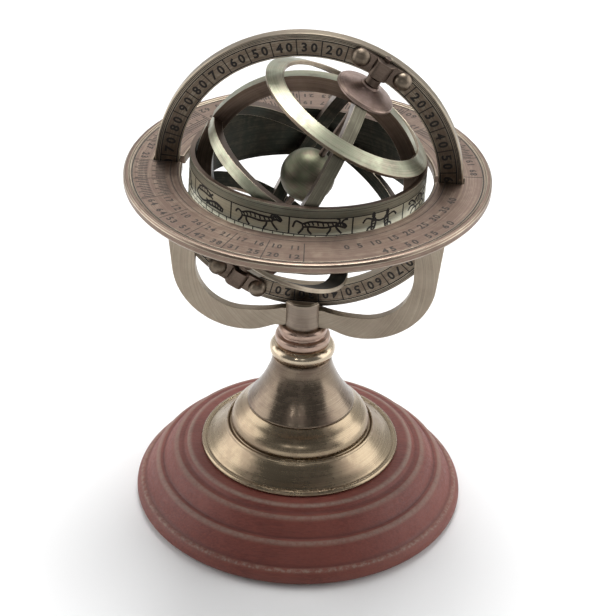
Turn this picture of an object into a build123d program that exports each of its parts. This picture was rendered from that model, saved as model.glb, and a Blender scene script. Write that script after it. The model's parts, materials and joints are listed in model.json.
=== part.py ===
from build123d import *
import math
import os

os.makedirs("parts", exist_ok=True)

# Desk armillary sphere. Millimetres, +Z up, origin at the middle of the base underside.
# The graduated meridian ring stands in the XZ plane, its front face looks to -Y.
# Heights stack up from the base, radii stack out from the turning sphere.

# Directions
AXIS_DEG = 61.0           # polar axis above +X in the XZ plane
HOOP_LEAN = 4.6           # how far the equator and polar bands lean back off the axis
ZODIAC_DEG = 88.3         # axis of the zodiac band above +X
ZODIAC_LEAN = 3.4         # lean of the zodiac axis towards the back

# Clearances
RUN_FIT = 0.08            # radial, axle in the turning holes
CLAMP_FIT = 0.02          # radial, axle in the groove under the straps
SLIDE_FIT = 0.25          # meridian ring faces in the notches and the post
RING_DROP = 0.30          # meridian rim to the ends of its slots
SEAT_GAP = 0.05           # zodiac and caps round the colures
TENON_GAP = 0.10          # cradle tenons in their pockets
ROD_GAP = 0.20            # tie rod in its hole
SWEEP_GAP = 0.92          # turning sphere to the horizon ring
RING_GAP = 2.02           # turning sphere to the meridian ring
HUB_GAP = 0.15            # cap hub to the spacer
CRADLE_GAP = 0.30         # cradle plate to the meridian ring

# Wooden base, felt and the hidden fastening
BASE_R, BASE_TOP, BASE_FLAT_R = 44.9, 16.6, 30.0
FELT_R, FELT_T = 42.0, 0.8
BORE_R, BORE_TOP = 9.0, 9.8
ROD_R = 2.5
WASHER_R, WASHER_T = 6.0, 1.0
NUT_AF, NUT_T = 8.0, 4.0

# Turned column, from the base up
FOOT_R, FOOT_H, TORUS_R = 27.1, 13.2, 18.9
BELL_R, BELL_TOP_R, BELL_H = 14.5, 8.0, 15.2
BEAD_R, BEAD_HALF = 8.8, 2.2
SPIGOT_R = 3.6
COLLAR_R, COLLAR_H = 7.4, 5.6
POST_R, POST_H = 5.2, 8.2
RING_GRIP = 3.2           # how deep the meridian ring sits in the post

# Celestial sphere, from the globe out
GLOBE_R = 7.1
COL_OUT, COL_DEPTH = 29.2, 4.3
SOLST_W, EQUIN_W = 3.3, 3.4
EQ_INSET, EQ_DEPTH, EQ_W = 0.5, 2.5, 3.1
ZOD_T, ZOD_LOW, ZOD_HIGH = 1.3, -8.2, 5.6
BAND_WIDE_DEG, BAND_WIDE_OVER = 50.88, 1.80
BAND_NARROW_DEG, BAND_NARROW_OVER = 42.72, 0.34
BAND_T = 1.2
CAP_R, CAP_T = 8.0, 0.9
HUB_R, HUB_H = 2.5, 2.3
SPACER_R = 1.9
AXLE_R = 0.9

# Meridian ring, straps and screws
MER_W, MER_T = 6.3, 2.8
LINE_W, LINE_D = 0.30, 0.20
LINE_IN, LINE_OUT = 0.5, 1.6
STRAP_IN, STRAP_HALF, STRAP_W, STRAP_T = 3.0, 6.1, 4.8, 1.0
HUMP_W, HUMP_H, HUMP_ROUND = 5.0, 2.6, 1.5
DOME_R, DOME_H, SHANK_R, SHANK_DEEP = 2.5, 2.0, 1.0, 2.2

# Horizon ring
HOR_DROP, HOR_T, HOR_LIP = 1.3, 2.3, 0.4
HOR_BEYOND = 7.2          # ring left outside the notch

# Cradle plate
CRADLE_T, CRADLE_CLEAR = 2.4, 0.5
ARM_W, ARM_DIP, BEND_X, WEB_H = 9.2, 5.15, 16.0, 5.45
TENON_IN, TENON_W, TENON_H, TENON_CHEEK, ARM_SHOULDER = 1.0, 2.2, 1.4, 0.6, 0.8

# Levels and radii that follow
FOOT_TOP = BASE_TOP + FOOT_H
BELL_TOP = FOOT_TOP + BELL_H
BEAD_TOP = BELL_TOP + 2 * BEAD_HALF
COLLAR_TOP = BEAD_TOP + COLLAR_H
POST_TOP = COLLAR_TOP + POST_H
COL_IN = COL_OUT - COL_DEPTH
EQ_OUT = COL_OUT - EQ_INSET
EQ_IN = EQ_OUT - EQ_DEPTH
ZOD_IN = COL_OUT + 2 * SEAT_GAP
ZOD_OUT = ZOD_IN + ZOD_T
CAP_UNDER = math.hypot(COL_OUT, EQUIN_W / 2) + SEAT_GAP
HUB_TOP = CAP_UNDER + HUB_H
SWEEP_R = max(math.hypot(ZOD_OUT, ZOD_LOW), math.hypot(ZOD_OUT, ZOD_HIGH), COL_OUT + BAND_WIDE_OVER,
              HUB_TOP)
MER_IN = SWEEP_R + RING_GAP
MER_OUT = MER_IN + MER_W
STRAP_R = MER_IN + STRAP_IN
SPHERE_Z = POST_TOP - RING_GRIP + MER_OUT
HOR_IN = SWEEP_R + SWEEP_GAP
HOR_BOTTOM = SPHERE_Z - HOR_DROP
HOR_FACE = HOR_BOTTOM + HOR_T
NOTCH_X = MER_OUT + RING_DROP
HOR_OUT = NOTCH_X + HOR_BEYOND
CRADLE_Y1 = -CRADLE_GAP
CRADLE_Y0 = CRADLE_Y1 - CRADLE_T
CRADLE_IN = MER_IN + CRADLE_CLEAR
TENON_X0 = CRADLE_IN + TENON_IN
TENON_X1 = TENON_X0 + TENON_W
CRADLE_LOW = COLLAR_TOP + SEAT_GAP * 3
GROOVE_R = AXLE_R + CLAMP_FIT
TURN_BORE = AXLE_R + RUN_FIT
THROUGH = MER_OUT + 20.0

CENTRE = Vector(0, 0, SPHERE_Z)


def direction(up_deg, lean_deg=0.0):
    a = math.radians(up_deg)
    b = math.radians(lean_deg)
    return Vector(math.cos(a) * math.cos(b), math.sin(b), math.sin(a) * math.cos(b))


POLAR = direction(AXIS_DEG)
HOOP_AXIS = direction(AXIS_DEG, HOOP_LEAN)
ZODIAC_AXIS = direction(ZODIAC_DEG, ZODIAC_LEAN)
CROSS = Vector(POLAR.Z, 0, -POLAR.X)


def frame_at(normal, x_dir=None):
    if x_dir is None:
        x_dir = (1, 0, 0) if abs(normal.Y) > 0.9 else (0, 1, 0)
    return Plane(origin=CENTRE, x_dir=x_dir, z_dir=normal)


def along_axis(normal, solid, x_dir=None):
    return frame_at(normal, x_dir).location * solid


def turned(*runs):
    """Solid of revolution about Z. Each run is a list of (radius, height) points: two make a line,
    more make one smooth curve. The last run is joined back to the first."""
    with BuildPart() as part:
        with BuildSketch(Plane.XZ):
            with BuildLine():
                start = runs[0][0]
                here = start
                for run in runs:
                    if math.dist(here, run[0]) > 1e-6:
                        Line(here, run[0])
                    if len(run) > 2:
                        Spline(*run)
                    elif len(run) == 2:
                        Line(*run)
                    here = run[-1]
                if math.dist(here, start) > 1e-6:
                    Line(here, start)
            make_face()
        revolve(axis=Axis.Z)
    return part.part


def polygon_turned(outline):
    return turned(*[[p] for p in outline])


def between(points, r0, r1, z0, z1):
    """Profile points given as shares of the way from radius r0 to r1 and from height z0 to z1."""
    return [(r0 + u * (r1 - r0), z0 + v * (z1 - z0)) for u, v in points]


def flat_ring(r_out, r_in, low, high):
    return polygon_turned([(r_in, low), (r_out, low), (r_out, high), (r_in, high)])


def hole(radius, half=THROUGH):
    return Cylinder(radius, 2 * half)


def box_between(x0, x1, y0, y1, z0, z1):
    x0, x1 = sorted((x0, x1))
    return Pos((x0 + x1) / 2, (y0 + y1) / 2, (z0 + z1) / 2) * Box(x1 - x0, y1 - y0, z1 - z0)


# Wooden base, felt and the hidden fastening
def wooden_base():
    """Turned saucer: a rolled foot, a hollow wave and a rounded shoulder under the flat top."""
    span = (BASE_FLAT_R, BASE_R, FELT_T, BASE_TOP)
    foot = between([(0.95, 0), (0.99, 0.04), (1, 0.09), (0.98, 0.165), (0.915, 0.235), (0.84, 0.26)], *span)
    wave = between([(0.84, 0.26), (0.80, 0.31), (0.725, 0.455), (0.645, 0.575), (0.575, 0.62),
                    (0.505, 0.63)], *span)
    shoulder = between([(0.505, 0.63), (0.455, 0.69), (0.39, 0.795), (0.31, 0.875), (0.24, 0.905),
                        (0.175, 0.905)], *span)
    step = between([(0.175, 0.905), (0.13, 0.92), (0.09, 0.955), (0.05, 0.985), (0, 1)], *span)
    bore = [(ROD_R + ROD_GAP, BASE_TOP), (ROD_R + ROD_GAP, BORE_TOP)]
    return turned(foot, wave, shoulder, step, bore, [(BORE_R, BORE_TOP), (BORE_R, FELT_T)])


def felt_pad():
    return polygon_turned([(0, 0), (FELT_R, 0), (FELT_R, FELT_T), (0, FELT_T)])


def washer():
    return flat_ring(WASHER_R, ROD_R + ROD_GAP, BORE_TOP - WASHER_T, BORE_TOP)


def nut():
    z1 = BORE_TOP - WASHER_T
    prism = extrude(RegularPolygon(NUT_AF / 2, 6, major_radius=False), NUT_T)
    return Pos(0, 0, z1 - NUT_T) * (prism - hole(ROD_R))


def tie_rod():
    low = BORE_TOP - WASHER_T - 1.25 * NUT_T
    high = COLLAR_TOP - 0.8 * ROD_R
    return Pos(0, 0, low) * Cylinder(ROD_R, high - low, align=(Align.CENTER, Align.CENTER, Align.MIN))


# Turned brass column
def foot_plate():
    """Dished plate with a grooved rim, a standing lip and a fat torus on top."""
    dish_span = (TORUS_R, FOOT_R, BASE_TOP, FOOT_TOP)
    rim = between([(0.975, 0), (1, 0.03), (0.975, 0.076), (0.92, 0.1), (0.866, 0.102)], *dish_span)
    groove = between([(0.866, 0.102), (0.817, 0.083), (0.768, 0.106)], *dish_span)
    dish = between([(0.768, 0.106), (0.573, 0.197), (0.354, 0.326), (0.20, 0.425), (0.165, 0.47)],
                   *dish_span)
    lip = between([(0.165, 0.47), (0.13, 0.492), (0.09, 0.482), (0.05, 0.447)], *dish_span)
    torus_span = (0, TORUS_R, BASE_TOP, FOOT_TOP)
    torus = between([(0.985, 0.455), (1, 0.53), (0.99, 0.636), (0.952, 0.75), (0.894, 0.841),
                     (0.836, 0.909), (0.794, 0.965), (0.772, 1)], *torus_span)
    bore = ROD_R + ROD_GAP
    return turned(rim, groove, dish, lip, torus, [(bore, FOOT_TOP), (bore, BASE_TOP)])


def bell():
    side = between([(1, 0.046), (0.754, 0.191), (0.492, 0.368), (0.277, 0.553), (0.092, 0.763),
                    (0, 0.934)], BELL_TOP_R, BELL_R, FOOT_TOP, BELL_TOP)
    foot = [(ROD_R + ROD_GAP, FOOT_TOP), (BELL_R - 0.3, FOOT_TOP), (BELL_R, FOOT_TOP + 0.3)]
    recess = [(SPIGOT_R, BELL_TOP), (SPIGOT_R, BELL_TOP - ROD_GAP), (ROD_R + ROD_GAP, BELL_TOP - ROD_GAP)]
    return turned([foot[0], foot[1]], [foot[1], foot[2]], side, [side[-1], (BELL_TOP_R, BELL_TOP)],
                  [recess[0], recess[1]], [recess[1], recess[2]])


def neck_bead():
    middle = BELL_TOP + BEAD_HALF
    ball = Pos(0, 0, middle) * Torus(BEAD_R - BEAD_HALF, BEAD_HALF)
    core = flat_ring(BEAD_R - BEAD_HALF, SPIGOT_R, BELL_TOP, BEAD_TOP)
    return core + ball - Pos(0, 0, middle) * Cylinder(SPIGOT_R, 4 * BEAD_HALF)


def collar():
    """Two stacked bands with a narrow neck between them."""
    lower = between([(0.95, 0), (1, 0.09), (1, 0.34), (0.95, 0.43)], 0, COLLAR_R, BEAD_TOP, COLLAR_TOP)
    neck = between([(0.825, 0.465), (0.81, 0.59)], 0, COLLAR_R, BEAD_TOP, COLLAR_TOP)
    upper = between([(0.89, 0.625), (0.89, 0.875), (0.81, 1)], 0, COLLAR_R, BEAD_TOP, COLLAR_TOP)
    inner = [(SPIGOT_R, COLLAR_TOP), (SPIGOT_R, BEAD_TOP)]
    return polygon_turned(lower + neck + upper + inner)


def post():
    """Slotted post on a spigot: the cradle plate and the meridian ring stand in its slots."""
    chamfer_edge = 0.4
    rod_top = COLLAR_TOP - 0.64 * ROD_R
    body = polygon_turned([(0, COLLAR_TOP), (POST_R, COLLAR_TOP), (POST_R, POST_TOP - chamfer_edge),
                           (POST_R - chamfer_edge, POST_TOP), (0, POST_TOP)])
    low = BELL_TOP + 2 * ROD_GAP
    spigot = polygon_turned([(ROD_R, low), (SPIGOT_R, low), (SPIGOT_R, COLLAR_TOP), (0, COLLAR_TOP),
                             (0, rod_top), (ROD_R, rod_top)])
    reach = 2 * POST_R
    back = MER_T + SLIDE_FIT
    ring_low = POST_TOP - RING_GRIP - RING_DROP
    plate_slot = box_between(-reach, reach, CRADLE_Y0, CRADLE_Y1, CRADLE_LOW, POST_TOP + 1)
    ring_slot = box_between(-reach, reach, CRADLE_Y0, back, ring_low, POST_TOP + 1)
    return body + spigot - plate_slot - ring_slot


# Cradle plate, one flat piece with two curved arms
def on_clear(x=None, z=None):
    """Point on the circle that keeps the cradle clear of the meridian ring's opening."""
    if x is None:
        return (math.sqrt(CRADLE_IN ** 2 - (SPHERE_Z - z) ** 2), z)
    return (x, SPHERE_Z - math.sqrt(CRADLE_IN ** 2 - x ** 2))


def halfway_down(a, b):
    mid = (math.atan2(a[1] - SPHERE_Z, a[0]) + math.atan2(b[1] - SPHERE_Z, b[0])) / 2
    return (CRADLE_IN * math.cos(mid), SPHERE_Z + CRADLE_IN * math.sin(mid))


def cradle_half():
    """Right arm: out of the post, round a quarter bend and up to the horizon ring."""
    out_x = TENON_X1 + ARM_SHOULDER
    out_r = out_x - BEND_X
    in_r = out_r - ARM_W
    bend_z = CRADLE_LOW - ARM_DIP + out_r
    web_top = CRADLE_LOW + WEB_H
    root_x = POST_R + 2.0
    inner_top = on_clear(z=HOR_BOTTOM)
    shoulder = on_clear(x=BEND_X + in_r)
    c45 = math.cos(math.pi / 4)
    with BuildPart() as part:
        with BuildSketch(Plane.XZ):
            with BuildLine():
                Line((0, CRADLE_LOW), (root_x, CRADLE_LOW))
                Spline((root_x, CRADLE_LOW), (BEND_X, bend_z - out_r), tangents=[(1, -0.75), (1, 0)])
                ThreePointArc((BEND_X, bend_z - out_r), (BEND_X + out_r * c45, bend_z - out_r * c45),
                              (out_x, bend_z))
                Line((out_x, bend_z), (out_x, HOR_BOTTOM))
                Line((out_x, HOR_BOTTOM), inner_top)
                ThreePointArc(inner_top, halfway_down(inner_top, shoulder), shoulder)
                Line(shoulder, (BEND_X + in_r, bend_z))
                ThreePointArc((BEND_X + in_r, bend_z), (BEND_X + in_r * c45, bend_z - in_r * c45),
                              (BEND_X, bend_z - in_r))
                Spline((BEND_X, bend_z - in_r), (POST_R + 0.4, web_top), tangents=[(-1, 0), (-1, 0.35)])
                Line((POST_R + 0.4, web_top), (0, web_top))
                Line((0, web_top), (0, CRADLE_LOW))
            make_face()
        extrude(amount=CRADLE_T)
    return part.part


def tenon(side, grow, low):
    return box_between(side * (TENON_X0 - grow), side * (TENON_X1 + grow), CRADLE_Y0 + TENON_CHEEK - grow,
                       CRADLE_Y1 - TENON_CHEEK + grow, low, HOR_BOTTOM + TENON_H + grow)


def cradle():
    half = cradle_half()
    right = Pos(0, CRADLE_Y0 - half.bounding_box().min.Y, 0) * half
    plate = right + mirror(right, about=Plane.YZ)
    for side in (-1, 1):
        plate = plate + tenon(side, 0, HOR_BOTTOM - TENON_H)
    return plate


# Horizon ring
def horizon_ring():
    lip = HOR_FACE + HOR_LIP
    outline = [(HOR_IN, HOR_BOTTOM), (HOR_OUT - 0.5, HOR_BOTTOM), (HOR_OUT, HOR_BOTTOM + 0.6),
               (HOR_OUT, lip - 0.7), (HOR_OUT - 0.4, lip - 0.15), (HOR_OUT - 0.9, lip),
               (HOR_OUT - 1.4, lip - 0.1), (HOR_OUT - 1.7, HOR_FACE), (HOR_OUT - 2.1, HOR_FACE),
               (HOR_OUT - 2.25, HOR_FACE - LINE_D), (HOR_OUT - 2.4, HOR_FACE),
               (HOR_IN + 0.4, HOR_FACE), (HOR_IN, HOR_FACE - 0.3)]
    ring = polygon_turned(outline)
    for side in (-1, 1):
        ring = ring - box_between(side * (HOR_IN - 2), side * NOTCH_X, -SLIDE_FIT, MER_T + SLIDE_FIT,
                                  HOR_BOTTOM - 1, lip + 1)
        ring = ring - tenon(side, TENON_GAP, HOR_BOTTOM - 1)
    return ring


# Meridian ring, straps, screws and axle
def on_ring(angle_deg, radius=STRAP_R):
    a = math.radians(angle_deg)
    return (radius * math.cos(a), 0, SPHERE_Z + radius * math.sin(a))


def screw_places(pole_deg):
    spread = math.degrees(math.atan2(STRAP_HALF, STRAP_R))
    r = math.hypot(STRAP_R, STRAP_HALF)
    return [on_ring(pole_deg - spread, r), on_ring(pole_deg + spread, r)]


def y_rod(place, radius, y0, y1):
    x, _, z = place
    rod = Rot(90, 0, 0) * Cylinder(radius, y1 - y0)
    return Pos(x, (y0 + y1) / 2, z) * rod


def meridian_ring():
    outline = [(MER_IN, -MER_T), (MER_OUT, -MER_T), (MER_OUT, -0.3), (MER_OUT - 0.3, 0)]
    for r in (MER_OUT - LINE_OUT, MER_IN + LINE_IN):
        outline += [(r + LINE_W / 2, 0), (r, -LINE_D), (r - LINE_W / 2, 0)]
    outline += [(MER_IN, 0)]
    ring = along_axis(Vector(0, -1, 0), polygon_turned(outline), x_dir=(1, 0, 0))
    ring = ring - along_axis(POLAR, hole(GROOVE_R))
    for pole in (AXIS_DEG, AXIS_DEG + 180):
        for place in screw_places(pole):
            ring = ring - y_rod(place, SHANK_R, -1, SHANK_DEEP)
    return ring


def strap(pole_deg):
    """Flat clamp with rounded ends and a humped middle over the axle."""
    with BuildPart() as part:
        with BuildSketch(Plane.XY):
            SlotCenterToCenter(2 * STRAP_HALF, STRAP_W)
        extrude(amount=STRAP_T)
        with BuildSketch(Plane.XY):
            Rectangle(HUMP_W, STRAP_W)
        extrude(amount=HUMP_H)
    body = part.part
    tops = [e for e in body.edges() if abs(e.center().Z - HUMP_H) < 1e-6 and abs(e.center().X) > 1.0]
    body = fillet(tops, min(HUMP_ROUND, HUMP_H - STRAP_T - 0.1))
    body = body - Rot(90, 0, 0) * Cylinder(GROOVE_R, 4 * STRAP_W)
    for side in (-1, 1):
        body = body - Pos(side * STRAP_HALF, 0, 0) * Cylinder(SHANK_R, 4 * STRAP_W)
    a = math.radians(pole_deg)
    tangent = Vector(-math.sin(a), 0, math.cos(a))
    seat = Plane(origin=on_ring(pole_deg), x_dir=tangent, z_dir=(0, -1, 0))
    return seat.location * body


def dome_screw(place):
    x, _, z = place
    ball_r = (DOME_R ** 2 + DOME_H ** 2) / (2 * DOME_H)
    keep = Pos(0, 0, ball_r - DOME_H + 2 * ball_r) * Box(4 * ball_r, 4 * ball_r, 4 * ball_r)
    dome = Pos(0, 0, DOME_H - ball_r) * (Sphere(ball_r) & keep)
    shank = Pos(0, 0, -(STRAP_T + SHANK_DEEP) / 2) * Cylinder(SHANK_R, STRAP_T + SHANK_DEEP)
    seat = Plane(origin=(x, -STRAP_T, z), x_dir=(1, 0, 0), z_dir=(0, -1, 0))
    return seat.location * (dome + shank)


def strap_screws():
    places = screw_places(AXIS_DEG) + screw_places(AXIS_DEG + 180)
    return Compound(children=[dome_screw(p) for p in places])


def polar_axle():
    return along_axis(POLAR, Cylinder(AXLE_R, 2 * MER_OUT))


def pole_spacers():
    one = flat_ring(SPACER_R, AXLE_R, HUB_TOP + HUB_GAP, MER_IN - CLAMP_FIT * 2)
    return Compound(children=[along_axis(POLAR, one), along_axis(POLAR * -1, one)])


def globe():
    return Pos(0, 0, SPHERE_Z) * Sphere(GLOBE_R) - along_axis(POLAR, hole(AXLE_R))


# Celestial sphere
def equator_hoop():
    return along_axis(HOOP_AXIS, flat_ring(EQ_OUT, EQ_IN, -EQ_W / 2, EQ_W / 2))


def on_sphere(deg_from_axis, radius):
    a = math.radians(deg_from_axis)
    return (radius * math.sin(a), radius * math.cos(a))


def polar_band(sign):
    """Conical band: its wide edge stands proud of the colures, its narrow edge is let into them."""
    rw, dw = on_sphere(BAND_WIDE_DEG, COL_OUT + BAND_WIDE_OVER)
    rn, dn = on_sphere(BAND_NARROW_DEG, COL_OUT + BAND_NARROW_OVER)
    length = math.hypot(rw - rn, dn - dw)
    in_r = BAND_T * (dn - dw) / length
    in_d = BAND_T * (rw - rn) / length
    return along_axis(HOOP_AXIS * sign, polygon_turned([(rw, dw), (rn, dn), (rn - in_r, dn - in_d),
                                                        (rw - in_r, dw - in_d)]))


def colure(normal, width, side):
    """Flat ring through both poles; side +1 keeps the outer half of the crossing, -1 the inner."""
    ring = along_axis(normal, flat_ring(COL_OUT, COL_IN, -width / 2, width / 2))
    mid = (COL_OUT + COL_IN) / 2
    reach = 2 * COL_DEPTH
    for sign in (-1, 1):
        if side < 0:
            lap = Pos(0, 0, sign * (mid + reach / 2)) * Box(EQUIN_W, 2 * reach, reach)
        else:
            lap = Pos(0, 0, sign * (mid - reach / 2)) * Box(2 * reach, SOLST_W, reach)
        ring = ring - frame_at(POLAR, CROSS).location * lap
    ring = ring - along_axis(POLAR, hole(TURN_BORE))
    ring = ring - along_axis(HOOP_AXIS, flat_ring(COL_OUT + 1, EQ_IN, -EQ_W / 2, EQ_W / 2))
    for sign in (-1, 1):
        ring = ring - polar_band(sign)
    return ring


def zodiac_band():
    band = along_axis(ZODIAC_AXIS, flat_ring(ZOD_OUT, ZOD_IN, ZOD_LOW, ZOD_HIGH))
    for sign in (-1, 1):
        band = band - polar_band(sign)
    return band


def pole_cap(sign):
    """Shallow saucer lying on the crossing of the colures, with a low hub round the axle."""
    rim = math.sqrt(CAP_UNDER ** 2 - CAP_R ** 2)
    middle_r = (TURN_BORE + CAP_R) / 2
    start = (TURN_BORE, math.sqrt(CAP_UNDER ** 2 - TURN_BORE ** 2))
    middle = (middle_r, math.sqrt(CAP_UNDER ** 2 - middle_r ** 2))
    with BuildPart() as part:
        with BuildSketch(Plane.XZ):
            with BuildLine():
                ThreePointArc(start, middle, (CAP_R, rim))
                Polyline([(CAP_R, rim), (CAP_R, rim + CAP_T * 0.6), (CAP_R - 0.3, rim + CAP_T),
                          (HUB_R + 0.6, HUB_TOP - 0.9), (HUB_R, HUB_TOP - 0.6), (HUB_R - 0.3, HUB_TOP),
                          (TURN_BORE, HUB_TOP), start])
            make_face()
        revolve(axis=Axis.Z)
    return along_axis(POLAR * sign, part.part)


def save(name, shape):
    export_step(shape, "parts/" + name + ".step")


save("felt_pad", felt_pad())
save("wooden_base", wooden_base())
save("base_washer", washer())
save("base_nut", nut())
save("tie_rod", tie_rod())
save("foot_plate", foot_plate())
save("bell", bell())
save("neck_bead", neck_bead())
save("collar", collar())
save("post", post())
save("cradle", cradle())
save("horizon_ring", horizon_ring())
save("meridian_ring", meridian_ring())
save("north_strap", strap(AXIS_DEG))
save("south_strap", strap(AXIS_DEG + 180))
save("strap_screws", strap_screws())
save("polar_axle", polar_axle())
save("pole_spacers", pole_spacers())
save("globe", globe())
save("solstitial_colure", colure(Vector(0, 1, 0), SOLST_W, -1))
save("equinoctial_colure", colure(CROSS, EQUIN_W, 1))
save("equator_hoop", equator_hoop())
save("north_band", polar_band(1))
save("south_band", polar_band(-1))
save("zodiac_band", zodiac_band())
save("north_cap", pole_cap(1))
save("south_cap", pole_cap(-1))
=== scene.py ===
# %% [markdown]
# A desk armillary sphere in aged brass on a turned wooden base.
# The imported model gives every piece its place. This script gives the pieces their finish, rounds their
# edges, and adds what is too fine for the solids: the engraved numbers, the dividing lines and the
# figures on the zodiac band. It works in metres, with the base standing on z = 0.

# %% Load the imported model
import json
import math

import bmesh
import bpy
import numpy as np
from mathutils import Matrix

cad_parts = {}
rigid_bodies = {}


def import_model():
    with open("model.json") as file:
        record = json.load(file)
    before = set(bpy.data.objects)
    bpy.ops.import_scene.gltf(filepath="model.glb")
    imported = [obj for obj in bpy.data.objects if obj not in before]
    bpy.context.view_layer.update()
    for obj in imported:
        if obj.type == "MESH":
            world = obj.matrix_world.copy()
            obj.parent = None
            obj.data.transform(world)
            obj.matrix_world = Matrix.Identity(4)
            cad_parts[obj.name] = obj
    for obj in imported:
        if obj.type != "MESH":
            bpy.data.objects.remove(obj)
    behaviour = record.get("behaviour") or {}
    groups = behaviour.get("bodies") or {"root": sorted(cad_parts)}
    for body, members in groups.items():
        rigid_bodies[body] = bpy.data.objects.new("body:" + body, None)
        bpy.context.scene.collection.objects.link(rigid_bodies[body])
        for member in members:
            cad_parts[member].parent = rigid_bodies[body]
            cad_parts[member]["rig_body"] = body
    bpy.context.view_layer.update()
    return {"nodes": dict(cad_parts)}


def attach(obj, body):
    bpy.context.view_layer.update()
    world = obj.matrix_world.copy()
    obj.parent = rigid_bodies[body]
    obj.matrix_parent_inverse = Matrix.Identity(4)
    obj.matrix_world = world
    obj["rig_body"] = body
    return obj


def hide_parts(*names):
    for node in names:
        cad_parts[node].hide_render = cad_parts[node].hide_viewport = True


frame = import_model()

MM = 0.001
SPHERE_MIDDLE = np.array([0.0, 0.0, 100.0])

# %% [markdown]
# The directions of the instrument.
# The meridian ring stands across the view, and the polar axis leans 61 degrees up from the right.
# The equator hoop and the two polar bands lean a little off that axis, as on the real piece, and the
# zodiac band lies almost level. Each ring gets a frame of three unit vectors, with its axis last:
# FACING is for the meridian ring and the colure in its plane, and CROSS for the colure across it.

# %% Directions of the rings
def direction(up_deg, lean_deg=0.0):
    """Unit vector at up_deg above +X in the XZ plane, leaning lean_deg towards +Y."""
    a, b = math.radians(up_deg), math.radians(lean_deg)
    return np.array([math.cos(a) * math.cos(b), math.sin(b), math.sin(a) * math.cos(b)])


def ring_frame(axis):
    """Rows X, Y, Z of a right-handed frame with Z along the axis: X is world Y crossed with the axis."""
    z = axis / np.linalg.norm(axis)
    x = np.cross([0.0, 1.0, 0.0], z)
    if np.linalg.norm(x) < 0.1:
        x = np.array([1.0, 0.0, 0.0])
    x /= np.linalg.norm(x)
    return np.array([x, np.cross(z, x), z])


UPRIGHT = np.eye(3)
POLE_ANGLE = 61.0
POLAR = ring_frame(direction(POLE_ANGLE))
HOOPS = ring_frame(direction(POLE_ANGLE, 4.6))
ZODIAC = ring_frame(direction(88.3, 3.4))
CROSS = ring_frame(np.array([POLAR[2][2], 0.0, -POLAR[2][0]]))
FACING = np.array([[1.0, 0.0, 0.0], [0.0, 0.0, 1.0], [0.0, -1.0, 0.0]])
print("polar axis", POLAR[2].round(3), "hoop axis", HOOPS[2].round(3), "zodiac axis", ZODIAC[2].round(3))

# %% [markdown]
# Meshes from arrays.
# A turned piece is one grid of points: a profile of radius and height, carried round the upright axis.
# A modifier or a primitive could do it too, but a grid worked out with numpy keeps the profile in one
# short list of numbers, closes every seam, and gives each face its place along the profile.

# %% Grid meshes
def mesh_object(name, points, faces, body):
    """Object from an N x 3 array in millimetres and a list of faces, riding on a body of the model."""
    mesh = bpy.data.meshes.new(name)
    mesh.from_pydata((np.asarray(points, float) * MM).tolist(), [], faces)
    mesh.validate()
    mesh.shade_smooth()
    obj = bpy.data.objects.new(name, mesh)
    bpy.context.scene.collection.objects.link(obj)
    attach(obj, body)
    return obj


def grid_faces(rows, cols):
    """Quads of a grid that is closed both ways. Its point (i, j) has the number i * cols + j."""
    i, j = np.meshgrid(np.arange(rows), np.arange(cols), indexing="ij")
    i, j = i.ravel(), j.ravel()
    i2, j2 = (i + 1) % rows, (j + 1) % cols
    return np.stack([i * cols + j, i2 * cols + j, i2 * cols + j2, i * cols + j2], axis=1)


def rounded(profile, radius):
    """Closed profile with each corner replaced by a short curve of four points.

    Point P of the corner becomes the quadratic curve from P + r * (to the last point) through P to
    P + r * (to the next point), with r capped at 0.45 of each side."""
    p = np.asarray(profile, float)
    before, after = np.roll(p, 1, axis=0) - p, np.roll(p, -1, axis=0) - p
    lb = np.linalg.norm(before, axis=1, keepdims=True)
    la = np.linalg.norm(after, axis=1, keepdims=True)
    start = p + before / lb * np.minimum(radius, 0.45 * lb)
    end = p + after / la * np.minimum(radius, 0.45 * la)
    t = np.linspace(0, 1, 4)[None, :, None]
    curve = (1 - t) ** 2 * start[:, None] + 2 * t * (1 - t) * p[:, None] + t ** 2 * end[:, None]
    return curve.reshape(-1, 2)


def smooth_run(points, count):
    """Catmull-Rom curve through the points, count samples in each span."""
    p = np.asarray(points, float)
    p = np.vstack([2 * p[0] - p[1], p, 2 * p[-1] - p[-2]])
    t = np.linspace(0, 1, count, endpoint=False)[None, :, None]
    a, b, c, d = p[:-3, None], p[1:-2, None], p[2:-1, None], p[3:, None]
    run = 0.5 * (2 * b + (c - a) * t + (2 * a - 5 * b + 4 * c - d) * t ** 2
                 + (3 * b - a - 3 * c + d) * t ** 3)
    return np.vstack([run.reshape(-1, p.shape[1]), p[-2]])


def anticlockwise(profile):
    """The closed profile in the order that runs anticlockwise, radius to the right and height up."""
    r, h = np.asarray(profile, float).T
    area = np.sum(r * np.roll(h, -1) - np.roll(r, -1) * h)
    return np.stack([r, h], axis=1)[::1 if area >= 0 else -1]


def turned(name, profile, body, segments):
    """Closed anticlockwise profile (radius, height) carried round the upright axis.

    Point (i, j) = (r_j * cos a_i, r_j * sin a_i, h_j), with a_i going once round."""
    a = np.linspace(0, 2 * np.pi, segments, endpoint=False)
    ring = np.cos(a)[:, None] * UPRIGHT[0] + np.sin(a)[:, None] * UPRIGHT[1]
    points = profile[None, :, 0, None] * ring[:, None, :] + profile[None, :, 1, None] * UPRIGHT[2]
    return mesh_object(name, points.reshape(-1, 3), grid_faces(segments, len(profile)).tolist(), body)


# %% [markdown]
# Shader helpers.
# Every metal here was brushed on a lathe or by hand, coloured with a dark patina and rubbed bright
# where hands and cloth reach. So each material needs to know how far a point is from the axis of its
# ring: a noise that is stretched round the ring then reads as brushing.

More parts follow.
